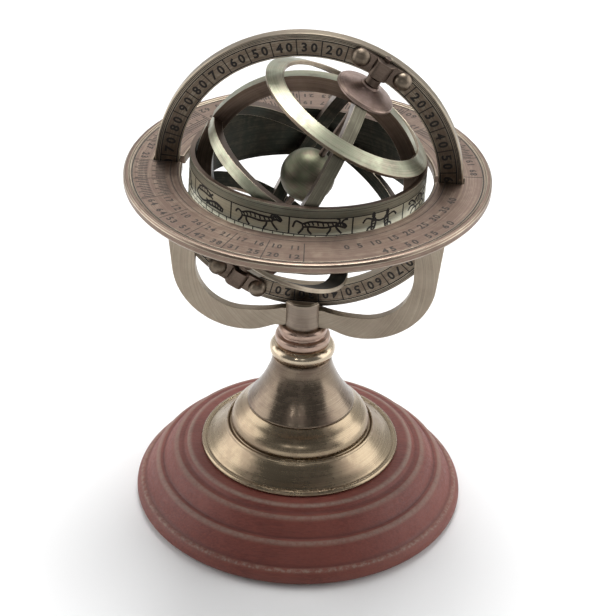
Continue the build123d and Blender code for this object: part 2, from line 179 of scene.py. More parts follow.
# %% Node helpers
def new_material(name):
    mat = bpy.data.materials.new(name)
    mat.use_nodes = True
    tree = mat.node_tree
    tree.nodes.clear()
    out = tree.nodes.new("ShaderNodeOutputMaterial")
    skin = tree.nodes.new("ShaderNodeBsdfPrincipled")
    tree.links.new(skin.outputs[0], out.inputs[0])
    return mat, tree, skin


def node(tree, kind, inputs=None, **settings):
    made = tree.nodes.new(kind)
    for key, value in settings.items():
        setattr(made, key, value)
    for key, value in (inputs or {}).items():
        if isinstance(value, bpy.types.NodeSocket):
            tree.links.new(value, made.inputs[key])
        else:
            made.inputs[key].default_value = value
    return made


def maths(tree, operation, a, b=0.0):
    return node(tree, "ShaderNodeMath", {0: a, 1: b}, operation=operation).outputs[0]


def weighted(tree, a, share_a, b, share_b):
    """The sum share_a * a + share_b * b."""
    return maths(tree, "ADD", maths(tree, "MULTIPLY", a, share_a), maths(tree, "MULTIPLY", b, share_b))


def scaled(tree, vector, factor):
    return node(tree, "ShaderNodeVectorMath", {0: vector, "Scale": factor}, operation="SCALE").outputs[0]


def spread(tree, value, low, high, to_low=0.0, to_high=1.0):
    """Value taken from low..high to to_low..to_high, clamped and eased."""
    made = node(tree, "ShaderNodeMapRange", {"Value": value, "From Min": low, "From Max": high,
                "To Min": to_low, "To Max": to_high}, interpolation_type="SMOOTHSTEP")
    return made.outputs["Result"]


def blend_colours(tree, share, a, b):
    made = node(tree, "ShaderNodeMix", data_type="RGBA")
    for key, value in ((0, share), (6, a), (7, b)):
        if isinstance(value, bpy.types.NodeSocket):
            tree.links.new(value, made.inputs[key])
        else:
            made.inputs[key].default_value = value if key == 0 else tuple(value) + (1.0,)
    return made.outputs[2]


def dot(tree, vector, fixed):
    made = node(tree, "ShaderNodeVectorMath", {0: vector, 1: tuple(fixed)}, operation="DOT_PRODUCT")
    return made.outputs["Value"]


def ring_places(tree, axes, middle):
    """The four values x, y, h, r of a point in the ring's own frame, in millimetres.

    With d = point - middle: x = d . X, y = d . Y, the height h = d . Z, and the distance from the axis
    r = sqrt(x^2 + y^2)."""
    point = node(tree, "ShaderNodeTexCoord").outputs["Object"]
    d = node(tree, "ShaderNodeVectorMath", {0: point, 1: tuple(np.asarray(middle) * MM)},
             operation="SUBTRACT").outputs[0]
    d = scaled(tree, d, 1 / MM)
    x, y, h = dot(tree, d, axes[0]), dot(tree, d, axes[1]), dot(tree, d, axes[2])
    r = maths(tree, "SQRT", weighted(tree, x, x, y, y))
    return x, y, h, r


def noise(tree, vector, scale, detail=2.0, rough=0.5, w=None):
    """Noise from 0 to 1. With w it has four dimensions."""
    inputs = {"Vector": vector, "Scale": scale, "Detail": detail, "Roughness": rough}
    if w is not None:
        inputs["W"] = w
        return node(tree, "ShaderNodeTexNoise", inputs, noise_dimensions="4D").outputs["Fac"]
    return node(tree, "ShaderNodeTexNoise", inputs).outputs["Fac"]


def join_xyz(tree, x, y, z):
    return node(tree, "ShaderNodeCombineXYZ", {0: x, 1: y, 2: z}).outputs[0]


def bump(tree, skin, height, strength, depth):
    """Small relief in the shading: height from 0 to 1 stands for 0 to depth, in metres."""
    relief = node(tree, "ShaderNodeBump", {"Height": height, "Strength": strength, "Distance": depth})
    tree.links.new(relief.outputs[0], skin.inputs["Normal"])


# %% [markdown]
# Aged brass.
# The real metal is brass under a brown and pink antique colour, brushed in one direction, with darker
# clouds of patina and paler, greener brass where it is rubbed. One recipe serves all the rings: it is
# given the colours, the ring's frame and how strong the brushing and the clouds are.

# %% Aged brass
def aged_brass(name, colour, cloud, rubbed, axes=UPRIGHT, middle=SPHERE_MIDDLE, rough=0.38, brush=0.5,
               clouds=0.5, rub=0.3, pitch=5.0, inside=None):
    """Brushing is a noise on (r, h) at pitch lines per millimetre, nearly constant round the ring.

    rough is the roughness of the metal, brush, clouds and rub are the strengths from 0 to 1, and
    inside = ("r" or "h", low, high, tint) gives that part of the ring a tint of its own."""
    mat, tree, skin = new_material(name)
    x, y, h, r = ring_places(tree, axes, middle)
    point = join_xyz(tree, x, y, h)
    along_x, along_y = maths(tree, "MULTIPLY", x, 0.03), maths(tree, "MULTIPLY", y, 0.03)
    lines_at = join_xyz(tree, maths(tree, "MULTIPLY", r, pitch), maths(tree, "MULTIPLY", h, pitch), along_x)
    lines = noise(tree, lines_at, 1.0, 3.0, 0.6, w=along_y)
    broad = noise(tree, point, 0.11, 3.0, 0.55)
    middling = noise(tree, point, 0.55, 4.0, 0.6)
    grains = noise(tree, point, 6.0, 2.0, 0.5)
    cloudy = spread(tree, weighted(tree, broad, 0.6, middling, 0.4), 0.42, 0.66, 0.0, clouds)
    base = blend_colours(tree, cloudy, colour, cloud)
    if inside:
        along, low, high, tint = inside
        place, soft = (r if along == "r" else h), 0.08
        within = maths(tree, "MULTIPLY", spread(tree, place, low - soft, low + soft),
                       spread(tree, place, high + soft, high - soft))
        base = blend_colours(tree, maths(tree, "MULTIPLY", within, 0.85), base, tint)
    worn = spread(tree, weighted(tree, lines, 0.5, middling, 0.5), 0.46, 0.62, 0.0, rub)
    base = blend_colours(tree, worn, base, rubbed)
    shade = spread(tree, lines, 0.25, 0.75, 1.0 - 0.35 * brush, 1.0 + 0.25 * brush)
    tree.links.new(scaled(tree, base, shade), skin.inputs["Base Color"])
    skin.inputs["Metallic"].default_value = 1.0
    dull = spread(tree, weighted(tree, lines, 0.5, cloudy, 0.5), 0.1, 0.7, rough - 0.07, rough + 0.12)
    tree.links.new(dull, skin.inputs["Roughness"])
    bump(tree, skin, weighted(tree, lines, 0.6 * brush, grains, 0.15), 0.35, 0.00006)
    return mat


# Linear colours that several finishes share.
PINK_BROWN = (0.225, 0.160, 0.128)
DEEP_BROWN = (0.15, 0.108, 0.080)
PALE_RUB = (0.45, 0.38, 0.29)
GREEN_GOLD = (0.37, 0.38, 0.275)
GREEN_GREY = (0.21, 0.20, 0.150)
# The near-black colour below is painted shade, the finish of the faces that look inwards.
SHADE_BLACK = (0.035, 0.038, 0.030)
print("from the dark patina", SHADE_BLACK, "to rubbed brass", PALE_RUB)

# %% [markdown]
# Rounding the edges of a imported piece.
# Rings with slots, laps and notches keep the exact shape of the solids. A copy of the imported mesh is
# merged, its flat faces are joined, and a Bevel modifier rounds every sharp edge by about a tenth of a
# millimetre, because a real edge always catches a thread of light. The bevel faces get a finish of
# their own, since an edge is the first place where the dark colour wears through.

# %% Softened copies
def face_frames(mesh):
    count = len(mesh.polygons)
    centres, normals = np.zeros(count * 3), np.zeros(count * 3)
    mesh.polygons.foreach_get("center", centres)
    mesh.polygons.foreach_get("normal", normals)
    return centres.reshape(-1, 3) / MM, normals.reshape(-1, 3)


SHARP = math.radians(30.0)


def softened(name, source, finishes, width=0.12, side_of=None, reshape=None):
    """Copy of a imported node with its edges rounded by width, in millimetres.

    The last finish goes on the rounded edges, side_of picks one of the others for each face from its
    centre and normal, and reshape moves the points."""
    packed = frame["nodes"][source]
    mesh = packed.data.copy()
    mesh.name = name
    work = bmesh.new()
    work.from_mesh(mesh)
    bmesh.ops.remove_doubles(work, verts=work.verts, dist=2e-6)
    bmesh.ops.dissolve_limit(work, angle_limit=math.radians(0.4), verts=work.verts, edges=work.edges)
    if reshape is not None:
        places = reshape(np.array([v.co for v in work.verts]) / MM) * MM
        for vertex, place in zip(work.verts, places):
            vertex.co = place
    for face in work.faces:
        face.smooth = True
    for edge in work.edges:
        edge.smooth = len(edge.link_faces) == 2 and edge.calc_face_angle(0.0) < SHARP
    work.to_mesh(mesh)
    work.free()
    for layer in ("custom_normal", "sharp_face"):
        if layer in mesh.attributes:
            mesh.attributes.remove(mesh.attributes[layer])
    mesh.materials.clear()
    for material in finishes:
        mesh.materials.append(material)
    slots = np.zeros(len(mesh.polygons), int)
    if side_of is not None:
        slots = side_of(*face_frames(mesh))
    mesh.polygons.foreach_set("material_index", slots.astype(np.int32))
    obj = bpy.data.objects.new(name, mesh)
    bpy.context.scene.collection.objects.link(obj)
    if width > 0:
        bevel = obj.modifiers.new("rounded edges", "BEVEL")
        bevel.width = width * MM
        bevel.segments = 2
        bevel.limit_method = "ANGLE"
        bevel.angle_limit = SHARP
        bevel.harden_normals = True
        bevel.material = len(finishes) - 1
    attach(obj, packed["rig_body"])
    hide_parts(source)
    print(name, "faces", len(mesh.polygons))


def ring_sides(axes):
    """0 for faces that look away from the axis, 1 for faces that look towards it, 2 for the sides."""
    def pick(centres, normals):
        d = centres - SPHERE_MIDDLE
        out = d - np.outer(d @ axes[2], axes[2])
        out /= np.maximum(np.linalg.norm(out, axis=1, keepdims=True), 1e-9)
        facing = np.sum(out * normals, axis=1)
        return np.where(facing > 0.5, 0, np.where(facing < -0.5, 1, 2))
    return pick


def sphere_sides(centres, normals):
    """0 for faces that look away from the middle of the sphere, 1 for those that look at it, 2 else."""
    out = centres - SPHERE_MIDDLE
    out /= np.linalg.norm(out, axis=1, keepdims=True)
    facing = np.sum(out * normals, axis=1)
    return np.where(facing > 0.6, 0, np.where(facing < -0.6, 1, 2))


def dress(obj, material):
    """Gives a new piece its material and the slot under which others can change it."""
    obj.data.materials.append(material)


# %% [markdown]
# The wooden base.
# It is turned from one block: a rolled foot, a hollow wave, a rounded shoulder and a step up to the flat
# top. The stain is a dark red-brown, with a greyish line on every ridge that is partly wear and partly a
# painted highlight. The profile is drawn as a few smooth runs, and the material asks each point how convex
# the profile is there, so the grey follows the turning and not a drawn stripe.

# %% Turned pieces with a record of their ridges
def mark_ridges(obj, p, w):
    """Stores how convex the profile p is near each point, in radians per millimetre, as "ridge".

    ridge_i = sum over corners j of turn_j * exp(-(s_i - s_j)^2 / (2 w^2)) / (w sqrt(2 pi)), with s the
    way along the profile in millimetres."""
    ahead, behind = np.roll(p, -1, axis=0) - p, p - np.roll(p, 1, axis=0)
    across = behind[:, 0] * ahead[:, 1] - behind[:, 1] * ahead[:, 0]
    turn = np.arctan2(across, np.sum(ahead * behind, axis=1))
    step = np.linalg.norm(ahead, axis=1)
    s = np.concatenate([[0.0], np.cumsum(step)[:-1]])
    gap = np.abs(s[:, None] - s[None, :])
    gap = np.minimum(gap, step.sum() - gap)
    weight = np.exp(-gap ** 2 / (2 * w ** 2)) / (w * math.sqrt(2 * math.pi))
    ridge = weight @ turn
    rows = len(obj.data.vertices) // len(p)
    layer = obj.data.attributes.new("ridge", "FLOAT", "POINT")
    layer.data.foreach_set("value", np.tile(ridge, rows).astype(np.float32))


def turned_piece(name, source, profile, material, segments, ridge_width=None):
    """Turned stand-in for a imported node, with the ridges stored if ridge_width is given."""
    p = anticlockwise(profile)
    obj = turned(name, p, frame["nodes"][source]["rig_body"], segments)
    if ridge_width:
        mark_ridges(obj, p, ridge_width)
    dress(obj, material)
    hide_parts(source)
    print(name, "profile points", len(p), "faces", len(obj.data.polygons))


def between(points, r0, r1, z0, z1):
    """Profile points given as shares of the way from r0 to r1 and from z0 to z1."""
    p = np.asarray(points, float)
    return np.stack([r0 + p[:, 0] * (r1 - r0), z0 + p[:, 1] * (z1 - z0)], axis=1)


# %% [markdown]
# The stained wood.
# Grain and pores are noises drawn out along one direction. A pale grey is laid over them where the profile
# is convex, broken up by a scuff noise, and stands partly for wear and partly for a painted highlight on the
# ridges; the colour is darker in the hollows of the profile.

# %% Stained wood
def stained_wood():
    """Red-brown stain over a straight grain, with a pale grey where the ridge value is high, partly wear and
    partly a painted highlight.
    """
    mat, tree, skin = new_material("stained_wood")
    x, y, h, _ = ring_places(tree, UPRIGHT, (0, 0, 0))
    ridge = node(tree, "ShaderNodeAttribute", attribute_name="ridge").outputs["Fac"]

    def drawn_out(along, across, detail, rough):
        """Noise with the given number of cells per millimetre along the grain, X, and across it."""
        at = join_xyz(tree, maths(tree, "MULTIPLY", x, along), maths(tree, "MULTIPLY", y, across),
                      maths(tree, "MULTIPLY", h, across))
        return noise(tree, at, 1.0, detail, rough)

    grain = drawn_out(0.22, 2.6, 5.0, 0.62)
    pores = drawn_out(0.5, 7.0, 2.0, 0.5)
    point = join_xyz(tree, x, y, h)
    clouds = noise(tree, point, 0.07, 3.0, 0.55)
    scuffs = noise(tree, point, 0.9, 4.0, 0.65)
    red, deep_red, light_red = (0.185, 0.040, 0.026), (0.115, 0.024, 0.016), (0.215, 0.058, 0.040)
    pore_black, hollow_black, wear_and_highlight_grey = (0.05, 0.014, 0.012), (0.045, 0.014, 0.012), (0.33, 0.28, 0.22)
    stain = blend_colours(tree, spread(tree, grain, 0.35, 0.65), red, deep_red)
    stain = blend_colours(tree, spread(tree, clouds, 0.35, 0.7, 0.0, 0.6), stain, light_red)
    stain = blend_colours(tree, spread(tree, pores, 0.60, 0.72, 0.0, 0.5), stain, pore_black)
    scuffed = spread(tree, scuffs, 0.34, 0.62, 0.55, 1.0)
    # The pale grey on convex ridges is partly wear and partly a painted highlight along the crests.
    worn = maths(tree, "MULTIPLY", spread(tree, ridge, 0.14, 0.62), scuffed)
    above_foot = spread(tree, h, 3.6, 5.6, 0.10, 1.0)
    worn = maths(tree, "MULTIPLY", worn, above_foot)
    # A broken pale line 4.5 mm above the table, at the top of the rolled foot, is partly wear and partly a
    # painted highlight.
    foot_wear_and_highlight = maths(tree, "MULTIPLY", spread(tree, h, 4.1, 4.5), spread(tree, h, 5.0, 4.6))
    foot_wear_and_highlight = maths(tree, "MULTIPLY", foot_wear_and_highlight, spread(tree, scuffs, 0.40, 0.62, 0.1, 0.7))
    worn = maths(tree, "MAXIMUM", worn, foot_wear_and_highlight)
    stain = blend_colours(tree, maths(tree, "MULTIPLY", worn, 0.75), stain, wear_and_highlight_grey)
    # Darker in the hollows of the profile, where it is concave.
    stain = blend_colours(tree, spread(tree, ridge, -0.15, -0.8, 0.0, 0.45), stain, hollow_black)
    tree.links.new(stain, skin.inputs["Base Color"])
    tree.links.new(spread(tree, scuffs, 0.3, 0.7, 0.46, 0.62), skin.inputs["Roughness"])
    skin.inputs["Specular IOR Level"].default_value = 0.45
    bump(tree, skin, weighted(tree, grain, 0.6, pores, 0.4), 0.6, 0.0002)
    return mat


FELT_TOP, BASE_TOP = 0.8, 16.6
ROD_HOLE, NUT_HOLE, NUT_TOP = 2.7, 9.0, 9.8
SPAN = (30.0, 44.9, FELT_TOP, BASE_TOP)
base_profile = np.vstack([
    smooth_run(between([(0.95, 0), (0.99, 0.04), (1, 0.09), (0.98, 0.165), (0.915, 0.235), (0.84, 0.26)],
                       *SPAN), 6)[:-1],
    smooth_run(between([(0.84, 0.26), (0.80, 0.31), (0.725, 0.455), (0.645, 0.575), (0.575, 0.62),
                        (0.505, 0.63)], *SPAN), 6)[:-1],
    smooth_run(between([(0.505, 0.63), (0.455, 0.69), (0.39, 0.795), (0.31, 0.875), (0.24, 0.905),
                        (0.175, 0.905)], *SPAN), 6)[:-1],
    smooth_run(between([(0.175, 0.905), (0.13, 0.92), (0.09, 0.955), (0.05, 0.985), (0, 1)], *SPAN), 6),
    [(29.0, BASE_TOP), (28.0, BASE_TOP), (ROD_HOLE, BASE_TOP), (ROD_HOLE, NUT_TOP), (NUT_HOLE, NUT_TOP),
     (NUT_HOLE, FELT_TOP)]])
turned_piece("turned_wooden_base", "wooden_base", base_profile, stained_wood(), 256, 0.42)

# %% [markdown]
# The felt under the base.
# It is a plain disc of pressed wool. Only its edge shows, so a fine noise for the fibres and a little
# sheen are all that it needs.

# %% Felt
def pressed_felt():
    mat, tree, skin = new_material("pressed_felt")
    point = node(tree, "ShaderNodeTexCoord").outputs["Object"]
    fibres = noise(tree, point, 2600.0, 3.0, 0.7)
    tufts = noise(tree, point, 420.0, 3.0, 0.6)
    dark_green, green, dusty_green = (0.012, 0.030, 0.018), (0.030, 0.062, 0.038), (0.020, 0.040, 0.026)
    tone = blend_colours(tree, spread(tree, fibres, 0.35, 0.65), dark_green, green)
    tone = blend_colours(tree, spread(tree, tufts, 0.4, 0.7, 0.0, 0.4), tone, dusty_green)
    tree.links.new(tone, skin.inputs["Base Color"])
    skin.inputs["Roughness"].default_value = 0.95
    skin.inputs["Sheen Weight"].default_value = 0.4
    skin.inputs["Sheen Roughness"].default_value = 0.5
    bump(tree, skin, fibres, 0.6, 0.0001)
    return mat


felt_profile = rounded([(0.6, 0.0), (42.0, 0.0), (42.0, FELT_TOP), (0.6, FELT_TOP)], 0.2)
turned_piece("felt_disc", "felt_pad", felt_profile, pressed_felt(), 160)

# %% [markdown]
# The turned column.
# Foot plate, bell and neck bead were spun bright on a lathe and lacquered over a thin brown colour, so
# they are shinier and more golden than the rings. Collar and post are browner.

# %% Column
def column_finish(name, colour, cloud, rubbed, rough, brush=0.3, clouds=0.6, rub=0.3):
    return aged_brass(name, colour, cloud, rubbed, UPRIGHT, (0, 0, 0), rough, brush, clouds, rub)


column_brass = column_finish("column_brass", (0.325, 0.255, 0.172), (0.24, 0.165, 0.118),
                             (0.41, 0.345, 0.24), 0.28, rub=0.25)
bell_brass = column_finish("bell_brass", (0.185, 0.143, 0.105), (0.130, 0.090, 0.070),
                           (0.30, 0.255, 0.185), 0.25, clouds=0.8, rub=0.25)
bead_brass = column_finish("bead_brass", (0.54, 0.445, 0.325), (0.38, 0.30, 0.22), (0.62, 0.54, 0.40), 0.20)
collar_brass = column_finish("collar_brass", (0.42, 0.30, 0.24), (0.27, 0.185, 0.15),
                             (0.56, 0.45, 0.35), 0.30, brush=0.5)

FOOT_TOP, BELL_TOP, BEAD_TOP, COLLAR_TOP = 29.8, 45.0, 49.4, 55.0
SPIGOT_HOLE = 3.6
DISH = (18.9, 27.1, BASE_TOP, FOOT_TOP)
foot_profile = np.vstack([
    smooth_run(between([(0.975, 0), (1, 0.03), (0.975, 0.076), (0.92, 0.1), (0.866, 0.102)], *DISH), 6),
    smooth_run(between([(0.84, 0.088), (0.817, 0.083), (0.795, 0.09)], *DISH), 3),
    smooth_run(between([(0.768, 0.106), (0.573, 0.197), (0.354, 0.326), (0.20, 0.425), (0.165, 0.47)],
                       *DISH), 9)[:-1],
    smooth_run(between([(0.165, 0.47), (0.13, 0.492), (0.09, 0.482), (0.05, 0.447)], *DISH), 5),
    smooth_run(between([(0.985, 0.455), (1, 0.53), (0.99, 0.636), (0.952, 0.75), (0.894, 0.841),
                        (0.836, 0.909), (0.794, 0.965), (0.772, 1)], 0, 18.9, BASE_TOP, FOOT_TOP), 7),
    [(ROD_HOLE, FOOT_TOP), (ROD_HOLE, BASE_TOP)]])
turned_piece("foot_plate_spun", "foot_plate", foot_profile, column_brass, 256)

bell_profile = np.vstack([
    [(14.2, FOOT_TOP), (14.42, 29.9), (14.5, 30.1)],
    smooth_run(between([(1, 0.046), (0.754, 0.191), (0.492, 0.368), (0.277, 0.553), (0.092, 0.763),
                        (0, 0.934)], 8.0, 14.5, FOOT_TOP, BELL_TOP), 9),
    [(8.0, 44.9), (7.9, BELL_TOP), (SPIGOT_HOLE, BELL_TOP), (SPIGOT_HOLE, 44.8), (ROD_HOLE, 44.8),
     (ROD_HOLE, FOOT_TOP)]])
turned_piece("bell_spun", "bell", bell_profile, bell_brass, 224)

half_round = np.linspace(-np.pi / 2, np.pi / 2, 33)
bead_profile = np.vstack([
    np.stack([6.6 + 2.2 * np.cos(half_round), 47.2 + 2.2 * np.sin(half_round)], axis=1),
    [(SPIGOT_HOLE, BEAD_TOP), (SPIGOT_HOLE, BELL_TOP)]])
turned_piece("neck_bead_spun", "neck_bead", bead_profile, bead_brass, 192)

collar_side = between([(0.95, 0), (1, 0.09), (1, 0.34), (0.95, 0.43), (0.825, 0.465), (0.81, 0.59),
                       (0.89, 0.625), (0.89, 0.875), (0.81, 1)], 0, 7.4, BEAD_TOP, COLLAR_TOP)
collar_bore = [(SPIGOT_HOLE, COLLAR_TOP), (SPIGOT_HOLE, BEAD_TOP)]
collar_profile = rounded(np.vstack([collar_side, collar_bore]), 0.25)
turned_piece("collar_spun", "collar", collar_profile, collar_brass, 192)

# %% [markdown]
# Finishes of the rings.
# Each ring has its own frame, so each gets its own copy of the brass. The outer faces are rubbed pale, the
# sides get a brown painted shade, and the inner faces a near-black painted shade.

# %% Ring finishes
# For each kind: main colour, cloud colour, rubbed colour, then roughness, brush, clouds and rub.
KINDS = {
    "antique": (PINK_BROWN, DEEP_BROWN, PALE_RUB, 0.42, 0.6, 0.45, 0.22),
    "night": ((0.32, 0.265, 0.20), (0.185, 0.16, 0.12), (0.47, 0.42, 0.32), 0.40, 0.6, 0.6, 0.3),
    "rim": ((0.27, 0.275, 0.215), (0.16, 0.15, 0.115), PALE_RUB, 0.42, 0.6, 0.6, 0.25),
    "bronze": ((0.235, 0.215, 0.160), (0.14, 0.12, 0.09), (0.36, 0.35, 0.26), 0.38, 0.5, 0.7, 0.35),
    "edge": (PALE_RUB, PINK_BROWN, (0.55, 0.52, 0.39), 0.34, 0.5, 0.8, 0.5),
    "pale": (GREEN_GOLD, GREEN_GREY, (0.46, 0.40, 0.31), 0.34, 0.5, 0.9, 0.55),
    # The near-black kind below is painted shade for faces that look inwards, and the deep brown kind after
    # it is painted shade for the sides of the rings.
    "painted_shade": (SHADE_BLACK, (0.06, 0.05, 0.04), (0.12, 0.10, 0.075), 0.42, 0.5, 0.5, 0.35),
    "painted_side_shade": (DEEP_BROWN, (0.09, 0.06, 0.045), PINK_BROWN, 0.36, 0.5, 0.6, 0.4),
}


def finish(label, kind, axes, inside=None):
    colour, cloud, rubbed, *strengths = KINDS[kind]
    return aged_brass(label + "_" + kind, colour, cloud, rubbed, axes, SPHERE_MIDDLE, *strengths,
                      inside=inside)


def finish_set(label, kinds, axes):
    return [finish(label, kind, axes) for kind in kinds]


print("kinds of finish", sorted(KINDS))

# %% [markdown]
# The three engraved rings.
# The meridian ring is browner under its numbers, where some of the wax stayed in the pores. The zodiac
# band is paler under its figures, where the cloth that wiped off the wax has polished it.

# %% Meridian ring, horizon ring and zodiac band
number_band = ("r", 34.2, 38.4, (0.145, 0.108, 0.080))
softened("meridian_ring_finished", "meridian_ring",
         [finish("meridian", "night", FACING, number_band), finish("meridian", "edge", FACING)], 0.16)
softened("horizon_ring_finished", "horizon_ring", finish_set("horizon", ("antique", "edge"), UPRIGHT), 0.14)
figure_band = ("h", -4.1, 2.95, (0.62, 0.60, 0.47))
# The inward faces of the zodiac band get a near-black painted shade, and its top and bottom sides a brown
# painted shade.
zodiac_sides = finish_set("zodiac", ("painted_shade", "painted_side_shade", "edge"), ZODIAC)
softened("zodiac_band_finished", "zodiac_band",
         [finish("zodiac", "rim", ZODIAC, figure_band)] + zodiac_sides, side_of=ring_sides(ZODIAC))

# %% [markdown]
# The plain rings of the sphere.
# Equator hoop and polar bands share one set of finishes, because they share one axis. The bands are
# cones, so their faces are told apart by whether they look at the middle of the sphere.

# %% Hoop, bands and colures
# The inward faces of the hoop get a near-black painted shade, and its sides a brown painted shade.
pale, painted_shade, painted_side_shade, edge = finish_set("hoops", ("pale", "painted_shade", "painted_side_shade", "edge"), HOOPS)
softened("equator_hoop_finished", "equator_hoop", [pale, painted_shade, painted_side_shade, edge], side_of=ring_sides(HOOPS))
# The inward faces of the bands get the same near-black painted shade.
for sign in ("north", "south"):
    softened(sign + "_band_finished", sign + "_band", [pale, painted_shade, edge, edge], side_of=sphere_sides)
# The inward faces of the colures get a near-black painted shade, and their sides a brown painted shade.
for label, outside, axes in (("solstitial", "pale", FACING), ("equinoctial", "bronze", CROSS)):
    softened(label + "_colure_finished", label + "_colure",
             finish_set(label, (outside, "painted_shade", "painted_side_shade", "edge"), axes), side_of=ring_sides(axes))

# %% [markdown]
# Straps, caps, axle and globe.
# The small parts round the poles are browner and redder than the rings, since they are never rubbed. The
# globe is a plain turned ball, coloured a dull dark olive.

# %% Parts on the axle
strap_brass = aged_brass("strap_brass", (0.135, 0.100, 0.080), (0.08, 0.058, 0.046), (0.24, 0.19, 0.145),
                         POLAR, rough=0.38, brush=0.4, clouds=0.7, rub=0.35)
cap_brass = aged_brass("cap_brass", (0.42, 0.31, 0.27), (0.22, 0.15, 0.13), (0.36, 0.29, 0.22),
                       POLAR, rough=0.42, brush=0.4, clouds=0.8, rub=0.35)
screw_brass = aged_brass("screw_brass", (0.20, 0.160, 0.122), (0.12, 0.095, 0.072), (0.32, 0.26, 0.19),
                         FACING, rough=0.42, brush=0.2, clouds=0.6, rub=0.3)
globe_brass = aged_brass("globe_brass", (0.155, 0.160, 0.105), (0.15, 0.105, 0.085), (0.27, 0.20, 0.165),
                         POLAR, rough=0.50, brush=0.3, clouds=0.6, rub=0.3, pitch=2.5)
strap_edge = finish("strap", "antique", POLAR)
for sign in ("north", "south"):
    softened(sign + "_strap_finished", sign + "_strap", [strap_brass, strap_edge])
    softened(sign + "_cap_finished", sign + "_cap", [cap_brass, strap_edge], 0.10)
for source, brass, width in (("strap_screws", screw_brass, 0.08), ("globe", globe_brass, 0.0),
                             ("polar_axle", strap_brass, 0.1), ("pole_spacers", strap_brass, 0.1)):
    softened(source + "_finished", source, [brass, strap_edge], width)

# %% [markdown]
# Cradle, post and the bolt under the base.
# The cradle is one plate with two curved arms. On the real piece the arms are about 3 mm slimmer than
# in the solid, and dip less beside the post, so the copy's outer edge is drawn in by a formula. Rod,
# nut and washer are zinc plated steel; nothing of them shows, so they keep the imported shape.

# %% Cradle and post
BEND_X, BEND_Z = 16.0, 72.2
SLIM_Z, SLIM_RADIUS, SLIM_TURN = 72.1, 19.2, 83.8 / 90.0
ROOT_Z, ROOT_DIP = 55.15, 2.25 / 5.15


def slim_arms(p):
    """Moves the outer edge of the arms in.

    With a the angle from straight down round the middle of the bend (16, 72.2), points over 17 mm from
    there go to (16 + 19.2 sin b, 72.1 - 19.2 cos b) with b = a * 83.8 / 90. Points of the run under the
    root keep 2.25 / 5.15 of their depth under z = 55.15."""
    x, z = np.abs(p[:, 0]), p[:, 2]
    dx, dz = x - BEND_X, z - BEND_Z
    outer = (np.hypot(dx, dz) > 17.0) & (z < 72.4) & (x > 15.99)
    b = np.arctan2(dx, -dz) * SLIM_TURN
    new_x = np.where(outer, BEND_X + SLIM_RADIUS * np.sin(b), x)
    new_z = np.where(outer, SLIM_Z - SLIM_RADIUS * np.cos(b), z)
    root = (x > 5.0) & (x < 15.99) & (z < 55.14)
    new_z = np.where(root, ROOT_Z - (ROOT_Z - z) * ROOT_DIP, new_z)
    return np.stack([np.sign(p[:, 0]) * new_x, p[:, 1], new_z], axis=1)


cradle_brass = aged_brass("cradle_brass", (0.32, 0.265, 0.205), (0.21, 0.165, 0.125), (0.48, 0.43, 0.33),
                          FACING, (0, 0, 72), rough=0.38, brush=0.3, clouds=0.5, rub=0.3)
softened("cradle_finished", "cradle", [cradle_brass, finish("cradle", "edge", UPRIGHT)], 0.14,
         reshape=slim_arms)
post_brass = column_finish("post_brass", (0.24, 0.195, 0.155), (0.15, 0.11, 0.09), (0.38, 0.32, 0.25),
                           0.34, brush=0.4)
softened("post_finished", "post", [post_brass, finish("post", "edge", UPRIGHT)])
steel = aged_brass("zinc_steel", (0.45, 0.45, 0.46), (0.30, 0.30, 0.30), (0.60, 0.60, 0.60), UPRIGHT,
                   (0, 0, 0), rough=0.35, brush=0.2, clouds=0.3, rub=0.2)
for source in ("base_washer", "base_nut", "tie_rod"):
    frame["nodes"][source].data.materials.clear()
    frame["nodes"][source].data.materials.append(steel)

# %% [markdown]
# Engraved lines and numbers.
# On the real rings the numbers and lines were stamped into the brass and filled with black. Cutting
# them out of the rings would need very dense meshes, and they are a few pixels wide here, so each one is
# a thin dark inlay: its top lies a hundredth of a millimetre over the metal and its bottom is sunk
# in it. An inlay is drawn flat, as (s, t) along and across the ring, and then bent onto the ring by one
# formula, so the same drawing tools serve flat faces and the curved zodiac band.

# %% Inlay tools
PROUD, SUNK = 0.012, 0.05


